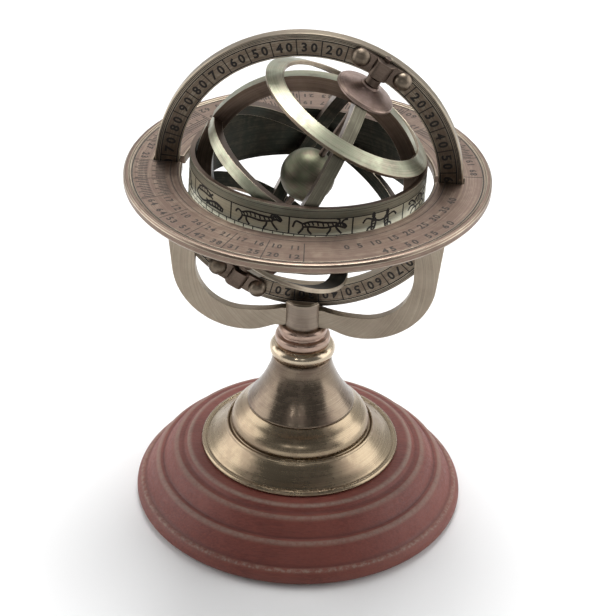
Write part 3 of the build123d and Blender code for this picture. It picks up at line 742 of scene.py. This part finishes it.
class Inlay:
    """Collects closed thin plates drawn as flat outlines, and bends them onto a ring all at once."""

    def __init__(self):
        self.points, self.faces, self.count = [], [], 0

    def add(self, st, depth, faces):
        self.points.append(np.column_stack([st, depth]))
        self.faces += [[k + self.count for k in face] for face in faces]
        self.count += len(st)

    def ribbon(self, st, width, close=False):
        """Plate along a line. Its two sides are the line moved by half the width along its normal."""
        p = np.asarray(st, float)
        ahead = np.roll(p, -1, axis=0) - p
        behind = p - np.roll(p, 1, axis=0)
        if not close:
            ahead[-1], behind[0] = behind[-1], ahead[0]
        way = ahead / np.maximum(np.linalg.norm(ahead, axis=1, keepdims=True), 1e-9)
        way += behind / np.maximum(np.linalg.norm(behind, axis=1, keepdims=True), 1e-9)
        way /= np.maximum(np.linalg.norm(way, axis=1, keepdims=True), 1e-9)
        side = np.stack([-way[:, 1], way[:, 0]], axis=1) * (np.broadcast_to(width, len(p))[:, None] / 2)
        n = len(p)
        left, right = p + side, p - side
        i = np.arange(n if close else n - 1)
        j = (i + 1) % n
        quads = np.array([[i, n + i, n + j, j], [2 * n + i, 2 * n + j, 3 * n + j, 3 * n + i],
                          [i, j, 2 * n + j, 2 * n + i], [n + i, 3 * n + i, 3 * n + j, n + j]])
        faces = quads.transpose(2, 0, 1).reshape(-1, 4).tolist()
        if not close:
            faces += [[0, 2 * n, 3 * n, n], [n - 1, 2 * n - 1, 4 * n - 1, 3 * n - 1]]
        self.add(np.concatenate([left, right, left, right]), np.repeat([PROUD, -SUNK], 2 * n), faces)

    def bar(self, s0, t0, s1, t1, width):
        self.ribbon([(s0, t0), (s1, t1)], width)

    def finish(self, name, bend, material, body, slot_name):
        """Makes the piece. bend takes arrays s, t and depth, and gives the points in millimetres."""
        flat = np.concatenate(self.points)
        obj = mesh_object(name, bend(flat[:, 0], flat[:, 1], flat[:, 2]), self.faces, body)
        obj.data.shade_flat()
        work = bmesh.new()
        work.from_mesh(obj.data)
        bmesh.ops.recalc_face_normals(work, faces=work.faces)
        work.to_mesh(obj.data)
        work.free()
        dress(obj, material)
        print(name, "points", len(flat), "faces", len(obj.data.polygons))


GLYPHS = {}
BOLD = 0.034


def glyph(char):
    """Flat outline of a character of height 1, as (points, faces), centred on its middle."""
    if char not in GLYPHS:
        curve = bpy.data.curves.new("glyph", "FONT")
        curve.body = char
        curve.extrude = 0.02
        curve.offset = BOLD
        curve.resolution_u = 3
        holder = bpy.data.objects.new("glyph", curve)
        bpy.context.scene.collection.objects.link(holder)
        bpy.context.view_layer.update()
        shown = holder.evaluated_get(bpy.context.evaluated_depsgraph_get())
        mesh = bpy.data.meshes.new_from_object(shown)
        p = np.zeros(len(mesh.vertices) * 3)
        mesh.vertices.foreach_get("co", p)
        p = p.reshape(-1, 3)
        faces = [list(f.vertices) for f in mesh.polygons]
        low, high = p.min(0), p.max(0)
        scale = 1.0 / (high[1] - low[1])
        p[:, :2] = (p[:, :2] - (low[:2] + high[:2]) / 2) * scale
        GLYPHS[char] = (p, faces)
        bpy.data.objects.remove(holder)
        bpy.data.curves.remove(curve)
        bpy.data.meshes.remove(mesh)
    return GLYPHS[char]


def add_text(inlay, text, s, t, height, pitch):
    """Characters side by side at an even pitch, the middle of the text at (s, t)."""
    for k, char in enumerate(text):
        if char == " ":
            continue
        p, faces = glyph(char)
        at = s + (k - (len(text) - 1) / 2) * pitch
        inlay.add(np.stack([at + p[:, 0] * height, t + p[:, 1] * height], axis=1),
                  np.where(p[:, 2] > 0, PROUD, -SUNK), faces)


# %% [markdown]
# Bending the flat drawings onto the rings.
# Each ring has a radius at which s measures its true length: the middle of the numbers, the middle of
# the horizon ring's face, and the outside of the zodiac band.

# %% Places on the rings
MERIDIAN_AT, HORIZON_AT, ZODIAC_AT = 36.3, 40.0, 30.6
HORIZON_TOP = 101.0


def on_meridian(s, t, depth):
    """Angle = s / 36.3 clockwise from the pole as seen from the front; t is the radius; face to -Y."""
    a = math.radians(POLE_ANGLE) - s / MERIDIAN_AT
    return np.stack([t * np.cos(a), -depth, SPHERE_MIDDLE[2] + t * np.sin(a)], axis=1)


def on_horizon(s, t, depth):
    """Angle = s / 40 anticlockwise from the front as seen from above; t is minus the radius."""
    a = s / HORIZON_AT - math.pi / 2
    return np.stack([-t * np.cos(a), -t * np.sin(a), HORIZON_TOP + depth], axis=1)


def on_zodiac(s, t, depth):
    """Angle = s / 30.6 round the band from its front; t is the height along its axis."""
    a = s / ZODIAC_AT - math.pi / 2
    out = np.cos(a)[:, None] * ZODIAC[0] + np.sin(a)[:, None] * ZODIAC[1]
    return SPHERE_MIDDLE + (ZODIAC_AT + depth)[:, None] * out + t[:, None] * ZODIAC[2]


def ring_line(inlay, t, width, at):
    """Line all the way round at one t, with 240 steps: its two ends meet."""
    s = np.linspace(-math.pi * at, math.pi * at, 241)
    inlay.ribbon(np.stack([s, np.full(241, t)], axis=1), width)


def wax_fill(name, wax, rubbed):
    """Old black wax: rough, with brown metal dust rubbed into it."""
    mat, tree, skin = new_material(name)
    point = node(tree, "ShaderNodeTexCoord").outputs["Object"]
    dust = noise(tree, point, 900.0, 3.0, 0.6)
    tone = blend_colours(tree, spread(tree, dust, 0.45, 0.75, 0.0, 0.6), wax, rubbed)
    tree.links.new(tone, skin.inputs["Base Color"])
    skin.inputs["Roughness"].default_value = 0.62
    skin.inputs["Specular IOR Level"].default_value = 0.35
    return mat


fill = wax_fill("black_fill", (0.010, 0.008, 0.007), (0.045, 0.034, 0.027))
worn_fill = wax_fill("worn_fill", (0.040, 0.030, 0.024), (0.10, 0.076, 0.06))
print("fills", fill.name, worn_fill.name)

# %% [markdown]
# Numbers on the meridian ring.
# They count the degrees from each pole, from 20 at the straps to 90 half way between, with their tops
# outwards. A short line stands between neighbouring numbers.

# %% Meridian numbers
numbers = Inlay()
for step in range(36):
    clockwise = 10.0 * step
    from_pole = min(clockwise % 180, 180 - clockwise % 180)
    if from_pole >= 20:
        add_text(numbers, str(int(from_pole)), math.radians(clockwise) * MERIDIAN_AT, MERIDIAN_AT, 2.55, 2.5)
    between_numbers = clockwise + 5.0
    clear = min(between_numbers % 180, 180 - between_numbers % 180)
    if clear > 14:
        s = math.radians(between_numbers) * MERIDIAN_AT
        numbers.bar(s, 34.3, s, 38.3, 0.30)
for radius, width in ((34.2, 0.30), (38.4, 0.34), (38.9, 0.16), (39.25, 0.20), (39.6, 0.14)):
    ring_line(numbers, radius, width, MERIDIAN_AT)
numbers.finish("meridian_numbers", on_meridian, fill, "meridian", "antique_brass")

# %% [markdown]
# Scale on the horizon ring.
# The real ring carries a calendar in two rows of tiny signs, cut into cells by radial lines, and a
# maker's line at the right. Here the two rows hold plain numbers and ticks, so nothing on the ring
# names anybody. The rows still have the right size, spacing and darkness.

# %% Horizon scale
scale = Inlay()
CELL_DEG, FIRST_CELL, CELLS = 13.5, -84.8, 20
for k in range(CELLS + 1):
    s = math.radians(FIRST_CELL - CELL_DEG * k + 90.0) * HORIZON_AT
    scale.bar(s, -45.0, s, -36.4, 0.26)
for k in range(CELLS):
    middle = math.radians(FIRST_CELL - CELL_DEG * (k + 0.5) + 90.0) * HORIZON_AT
    if k < 4 or k % 3 == 1:
        add_text(scale, str(10 + (7 * k) % 21) + " " + str(11 + (5 * k) % 19), middle, -38.6, 1.9, 1.6)
        add_text(scale, str(20 + (11 * k) % 70) + " " + str(12 + (13 * k) % 80), middle, -42.8, 1.9, 1.6)
    else:
        for tick in range(11):
            at_s = middle + (tick - 5) * 0.82
            scale.bar(at_s, -36.8, at_s, -40.2 if tick % 3 == 0 else -39.2, 0.36)
            scale.bar(at_s, -41.3, at_s, -44.6 if tick % 3 == 1 else -43.8, 0.36)
add_text(scale, "0 5 10 15 20 25 30 35 40", math.radians(49.0) * HORIZON_AT, -38.8, 2.1, 1.72)
add_text(scale, "45 50 55 60", math.radians(47.0) * HORIZON_AT, -43.2, 2.1, 2.05)
for across, width in ((-45.25, 0.34), (-35.4, 0.20), (-33.6, 0.12)):
    ring_line(scale, across, width, HORIZON_AT)
scale.finish("horizon_scale", on_horizon, worn_fill, "stand", "antique_brass")

# %% [markdown]
# Cells and figures on the zodiac band.
# Twelve framed cells, each with a small line drawing of its sign, stand over a chequered scale of
# days. The figures are the old common ones, drawn here afresh: each is a few strokes, and a stroke is a
# smooth curve through a handful of points with a width that swells and thins like an engraver's cut.

# %% Zodiac figures
FIGURE_SIZE = np.array([1.45, 1.24])


def stroke(inlay, s0, t0, points, width):
    """Curve through the points, with u going from 0 to 1 along it, thinner at its two ends.

    The width there is width * (1 - 0.45 * (1 - sin(pi u))). A wide stroke is a limb or a body: it becomes
    the outline of that shape, with a few cuts across."""
    run = smooth_run(np.asarray(points, float) * FIGURE_SIZE, 5) + (s0, t0)
    u = np.linspace(0, 1, len(run))
    w = width * (1 - 0.45 * (1 - np.sin(np.pi * u)))
    if width < 0.5:
        inlay.ribbon(run, np.maximum(1.25 * w, 0.52))
        return
    way = np.gradient(run, axis=0)
    way /= np.linalg.norm(way, axis=1, keepdims=True)
    side = np.stack([-way[:, 1], way[:, 0]], axis=1) * w[:, None] * 0.66
    inlay.ribbon(np.vstack([run + side, (run - side)[::-1]]), 0.54, close=True)
    for k in range(1, len(run) - 1, 2):
        cut = np.vstack([run[k] + 0.9 * side[k], run[k] - 0.5 * side[k] + 0.4 * way[k]])
        inlay.ribbon(cut, 0.40)


def four_legs(tail, head, horns):
    """Strokes of a walking animal: body, four legs, tail, head, and horns or a mane."""
    legs = [[(-3.0, 0.3), (-3.3, -0.6), (-3.9, -1.5)], [(-2.3, 0.2), (-2.2, -0.7), (-1.6, -1.5)],
            [(1.6, 0.3), (1.5, -0.6), (1.0, -1.5)], [(2.4, 0.4), (2.9, -0.5), (3.6, -1.4)]]
    strokes = [([(-3.2, 0.35), (-1.6, 0.75), (0.6, 0.6), (2.6, 0.8)], 0.95)]
    strokes += [(leg, 0.38) for leg in legs] + [(tail, 0.30), (head, 0.62)]
    return strokes + [(horn, 0.26) for horn in horns]


# Each stroke is its points and its width, in units of the figure.
FIGURES = {
    "ram": four_legs([(-3.3, 0.7), (-4.0, 1.1), (-4.5, 0.4)], [(2.5, 0.9), (3.4, 1.3), (4.1, 0.8)],
        [[(3.3, 1.5), (2.6, 1.9), (2.3, 1.2), (2.9, 1.0)]]),
    "bull": four_legs([(-3.3, 0.8), (-4.4, 1.2), (-4.9, -0.2)], [(2.5, 0.7), (3.6, 0.5), (4.3, 0.0)],
        [[(3.4, 0.8), (3.9, 1.6), (4.6, 1.7)], [(3.1, 0.9), (3.1, 1.7), (2.6, 2.0)]]),
    "twins": [([(-1.6, -1.5), (-1.4, 0.2), (-1.5, 1.0)], 0.75),
        ([(1.4, -1.5), (1.3, 0.2), (1.5, 1.0)], 0.75), ([(-1.5, 0.7), (0.0, 0.2), (1.5, 0.7)], 0.34),
        ([(-1.6, 0.8), (-2.9, 1.2), (-3.6, 0.3)], 0.32), ([(1.6, 0.8), (2.9, 1.2), (3.7, 0.4)], 0.32),
        ([(-1.6, -0.6), (-2.4, -1.0), (-2.7, -1.6)], 0.34),
        ([(1.5, -0.6), (2.3, -1.0), (2.5, -1.6)], 0.34), ([(-1.7, 1.7), (-1.3, 1.7)], 0.75),
        ([(1.3, 1.7), (1.7, 1.7)], 0.75)],
    "crab": [([(-1.7, 0.0), (0.0, 0.5), (1.7, 0.0)], 1.7),
        ([(-1.6, 0.6), (-2.8, 1.5), (-3.8, 1.2), (-3.2, 0.8)], 0.36),
        ([(1.6, 0.6), (2.8, 1.5), (3.8, 1.2), (3.2, 0.8)], 0.36),
        ([(-1.6, 0.0), (-2.9, 0.3), (-3.9, -0.4)], 0.26), ([(1.6, 0.0), (2.9, 0.3), (3.9, -0.4)], 0.26),
        ([(-1.4, -0.4), (-2.4, -0.7), (-3.0, -1.5)], 0.26),
        ([(1.4, -0.4), (2.4, -0.7), (3.0, -1.5)], 0.26),
        ([(-0.7, -0.7), (-1.0, -1.2), (-1.2, -1.6)], 0.24),
        ([(0.7, -0.7), (1.0, -1.2), (1.2, -1.6)], 0.24)],
    "lion": four_legs([(-3.3, 0.7), (-4.6, 0.4), (-4.9, 1.4), (-4.2, 1.8)],
        [(2.6, 0.9), (3.3, 1.1), (3.9, 0.7)],
        [[(2.2, 0.2), (2.6, 1.6), (3.4, 1.8), (3.9, 1.3)], [(2.5, -0.1), (3.1, 0.3), (3.4, 0.9)]]),
    "maiden": [([(-2.6, -0.6), (-0.8, -0.2), (1.0, 0.3), (2.4, 0.6)], 0.95),
        ([(2.7, 1.1), (3.1, 1.2)], 0.75), ([(1.4, 0.6), (0.6, 1.5), (-0.8, 1.8), (-1.8, 1.2)], 0.5),
        ([(1.9, 0.3), (3.2, -0.3), (4.2, 0.1)], 0.34),
        ([(-2.4, -0.8), (-3.6, -1.0), (-4.3, -1.5)], 0.5), ([(-1.6, -0.7), (-2.4, -1.5)], 0.4)],
    "scales": [([(0.0, 1.8), (0.0, -1.2)], 0.3), ([(-3.2, 1.0), (0.0, 1.4), (3.2, 1.0)], 0.34),
        ([(-3.2, 1.0), (-3.9, -0.3)], 0.16), ([(-3.2, 1.0), (-2.4, -0.3)], 0.16),
        ([(3.2, 1.0), (2.4, -0.3)], 0.16), ([(3.2, 1.0), (3.9, -0.3)], 0.16),
        ([(-4.1, -0.3), (-3.2, -0.8), (-2.2, -0.3)], 0.5),
        ([(2.2, -0.3), (3.2, -0.8), (4.1, -0.3)], 0.5), ([(-1.1, -1.4), (1.1, -1.4)], 0.4)],
    "scorpion": [([(-1.8, 0.1), (0.0, 0.4), (1.6, 0.1)], 1.0),
        ([(1.6, 0.2), (3.0, 0.3), (4.2, 1.2), (3.4, 1.8), (2.7, 1.5)], 0.42),
        ([(-1.8, 0.4), (-3.0, 1.2), (-4.2, 1.0)], 0.38),
        ([(-1.8, -0.1), (-3.0, -0.7), (-4.2, -0.3)], 0.38), ([(-0.9, -0.3), (-1.4, -1.5)], 0.26),
        ([(0.1, -0.2), (0.0, -1.5)], 0.26), ([(1.1, -0.3), (1.6, -1.5)], 0.26),
        ([(-0.7, 0.8), (-1.2, 1.6)], 0.24), ([(0.6, 0.8), (1.0, 1.6)], 0.24)],
    "archer": [([(-3.0, 0.0), (-1.2, 0.3), (0.4, 0.0)], 0.9),
        ([(0.2, 0.1), (0.8, 0.9), (0.7, 1.5)], 0.6), ([(-2.8, -0.1), (-3.2, -1.5)], 0.36),
        ([(-2.0, -0.1), (-1.6, -1.5)], 0.36), ([(0.0, -0.1), (-0.4, -1.5)], 0.36),
        ([(0.5, -0.1), (1.4, -1.4)], 0.36), ([(0.8, 1.0), (2.2, 0.9), (3.4, 0.9)], 0.28),
        ([(2.6, 2.0), (3.6, 0.9), (2.6, -0.4)], 0.26), ([(1.2, 0.9), (4.4, 0.9)], 0.14),
        ([(-3.1, 0.3), (-4.2, 0.0), (-4.6, -0.8)], 0.26)],
    "goat": [([(-1.0, 0.2), (0.6, 0.7), (2.2, 0.8)], 0.9), ([(2.3, 0.9), (3.3, 1.2), (4.0, 0.7)], 0.55),
        ([(3.0, 1.5), (2.4, 2.0), (1.6, 1.8)], 0.24), ([(1.6, 0.4), (1.9, -0.7), (2.8, -1.4)], 0.36),
        ([(0.9, 0.3), (0.6, -0.8), (0.9, -1.5)], 0.36),
        ([(-1.0, 0.1), (-2.6, -0.6), (-3.6, 0.2), (-4.4, 1.3)], 0.55),
        ([(-4.4, 1.2), (-4.9, 0.7)], 0.4), ([(-4.3, 1.3), (-3.6, 1.6)], 0.4)],
    "water carrier": [([(-1.4, -1.4), (-1.0, 0.2), (-0.6, 1.0)], 0.8),
        ([(-0.7, 1.7), (-0.3, 1.7)], 0.75), ([(-0.6, 0.7), (0.6, 0.9), (1.7, 0.6)], 0.34),
        ([(1.4, 0.9), (2.4, 0.2)], 0.75), ([(2.4, 0.0), (3.2, -0.7), (3.0, -1.4), (4.1, -1.6)], 0.34),
        ([(2.2, -0.2), (2.6, -0.9), (2.2, -1.5)], 0.26),
        ([(-1.3, 0.5), (-2.6, 0.8), (-3.6, 0.2)], 0.34),
        ([(-1.3, -0.6), (-2.4, -1.0), (-2.8, -1.6)], 0.36)],
    "fishes": [([(-3.6, 0.9), (-1.8, 1.3), (0.2, 0.9)], 0.85), ([(0.2, 0.9), (1.0, 1.5)], 0.4),
        ([(0.2, 0.9), (1.0, 0.4)], 0.4), ([(3.6, -0.8), (1.8, -0.4), (-0.2, -0.8)], 0.85),
        ([(-0.2, -0.8), (-1.0, -0.2)], 0.4), ([(-0.2, -0.8), (-1.0, -1.4)], 0.4),
        ([(-3.8, 0.8), (-4.4, -0.6), (-2.0, -1.2), (1.0, 0.0), (3.8, -0.6)], 0.16)],
}
print("figures", len(FIGURES), "strokes", sum(len(strokes) for strokes in FIGURES.values()))

# %% [markdown]
# Setting out the zodiac band.
# The cells are 30 degrees long. Under them two rows of 5 degree blocks, shifted by half a block, make
# the chequered scale.

# %% Zodiac cells, figures and the scale of days
CELL_TOP, CELL_LOW, SCALE_MIDDLE, SCALE_LOW, RIM_LINE = 2.95, -1.65, -2.85, -4.05, 4.9
FIRST_SIGN_DEG, FIGURE_DROP = -32.5, 0.2
drawing = Inlay()
cell = math.radians(30.0) * ZODIAC_AT
for k, strokes in enumerate(FIGURES.values()):
    s0 = math.radians(30.0 * k + FIRST_SIGN_DEG) * ZODIAC_AT
    drawing.bar(s0, CELL_LOW, s0, CELL_TOP, 0.42)
    for points, width in strokes:
        stroke(drawing, s0 + cell / 2, (CELL_TOP + CELL_LOW) / 2 - FIGURE_DROP, points, 1.2 * width)
for height, width in ((CELL_TOP, 0.28), (CELL_LOW, 0.26), (SCALE_MIDDLE, 0.20), (SCALE_LOW, 0.26),
                      (RIM_LINE, 0.12)):
    ring_line(drawing, height, width, ZODIAC_AT)
brick = math.radians(5.0) * ZODIAC_AT
for k in range(72):
    s0 = (k - 36) * brick
    drawing.bar(s0, SCALE_MIDDLE, s0, CELL_LOW, 0.30)
    drawing.bar(s0 + brick / 2, SCALE_LOW, s0 + brick / 2, SCALE_MIDDLE, 0.30)
drawing.finish("zodiac_drawing", on_zodiac, fill, "sphere", "antique_brass")

# %% [markdown]
# Floor and lights.
# A pale floor, a big soft light at each side and one above and behind, as in a light tent, and two small
# lamps at the front for the spots of light on the bell.

# %% Stage
def pale_floor():
    mesh = bpy.data.meshes.new("floor")
    half = 3.0
    corners = [(-half, -half, 0), (half, -half, 0), (half, half, 0), (-half, half, 0)]
    mesh.from_pydata(corners, [], [(0, 1, 2, 3)])
    floor = bpy.data.objects.new("floor", mesh)
    bpy.context.scene.collection.objects.link(floor)
    mat, tree, skin = new_material("pale_floor")
    point = node(tree, "ShaderNodeTexCoord").outputs["Object"]
    tone = blend_colours(tree, noise(tree, point, 8.0), (0.90, 0.90, 0.90), (0.93, 0.93, 0.93))
    tree.links.new(tone, skin.inputs["Base Color"])
    skin.inputs["Roughness"].default_value = 0.9
    skin.inputs["Specular IOR Level"].default_value = 0.1
    floor.data.materials.append(mat)


def soft_light(name, place, look_at, size, power):
    """Square light of the given size in metres and power in watts."""
    data = bpy.data.lights.new(name, "AREA")
    data.size = size
    data.energy = power
    obj = bpy.data.objects.new(name, data)
    bpy.context.scene.collection.objects.link(obj)
    aim = np.asarray(look_at, float) - np.asarray(place, float)
    from_z = aim / np.linalg.norm(aim)
    side = np.cross(from_z, [0, 0, 1.0])
    side /= np.linalg.norm(side)
    up = np.cross(side, from_z)
    turn = Matrix(np.stack([side, up, -from_z], axis=1).tolist()).to_4x4()
    obj.matrix_world = Matrix.Translation(place) @ turn
    print(name, power, "W,", round(float(np.linalg.norm(aim)), 2), "m away")


pale_floor()
soft_light("left_box", (-0.85, 0.05, 0.34), (0, 0, 0.07), 0.8, 4.1)
soft_light("right_box", (0.85, 0.12, 0.34), (0, 0, 0.07), 0.8, 4.1)
soft_light("top_box", (0.0, 0.34, 0.95), (0, 0, 0.05), 0.5, 8.0)
soft_light("near_lamp", (0.11, -0.80, 0.52), (0, 0, 0.04), 0.03, 0.20)
soft_light("far_lamp", (-0.20, -0.78, 0.52), (0, 0, 0.04), 0.03, 0.20)

# %% [markdown]
# The walls of the tent.
# Polished metal shows its surroundings, so they have to be drawn too: the walls are bright behind and
# beside the object and dim towards the camera, which leaves the bell dark down its middle.

# %% Tent walls
def tent_walls():
    """Light from all round: dim towards the camera's side (-Y), bright behind the object."""
    world = bpy.data.worlds.new("tent")
    bpy.context.scene.world = world
    world.use_nodes = True
    tree = world.node_tree
    tree.nodes.clear()
    way = node(tree, "ShaderNodeTexCoord").outputs["Generated"]
    parts = node(tree, "ShaderNodeSeparateXYZ", {0: way})
    back = spread(tree, parts.outputs[1], -0.45, 0.55, 0.0, 1.0)
    up = spread(tree, parts.outputs[2], 0.55, 0.95, 1.0, 0.55)
    strength = maths(tree, "MULTIPLY", maths(tree, "ADD", maths(tree, "MULTIPLY", back, 0.58), 0.19), up)
    light = node(tree, "ShaderNodeBackground", {"Color": (0.98, 0.99, 1.0, 1.0), "Strength": strength})
    out = node(tree, "ShaderNodeOutputWorld")
    tree.links.new(light.outputs[0], out.inputs[0])
    print("world", world.name, "with", len(tree.nodes), "nodes")


tent_walls()
bpy.context.scene.view_settings.view_transform = "Standard"

# %% [markdown]
# The camera.
# It stands where the photograph was taken from: 62 cm from the middle of the object, looking 32 degrees
# down.

# %% Camera
SENSOR_MM, FOCAL_PIXELS, FRAME_PIXELS = 36.0, 2342.02, 616.0


def camera():
    """Pinhole camera that was fitted to the ellipses of the rings in the photograph."""
    data = bpy.data.cameras.new("camera")
    data.sensor_width = SENSOR_MM
    data.lens = SENSOR_MM * FOCAL_PIXELS / FRAME_PIXELS
    data.clip_start, data.clip_end = 0.05, 20.0
    obj = bpy.data.objects.new("camera", data)
    bpy.context.scene.collection.objects.link(obj)
    ahead = np.array([-0.081011, 0.841431, -0.534257])
    up = np.array([-0.083670, 0.528386, 0.844871])
    right = np.cross(ahead, up)
    turn = np.stack([right, up, -ahead], axis=1)
    place = np.array([51.860, -526.361, 393.687]) * MM
    whole = np.eye(4)
    whole[:3, :3], whole[:3, 3] = turn, place
    obj.matrix_world = Matrix(whole.tolist())
    bpy.context.scene.camera = obj
    print("camera lens", round(data.lens, 2), "mm at", place.round(3))


camera()
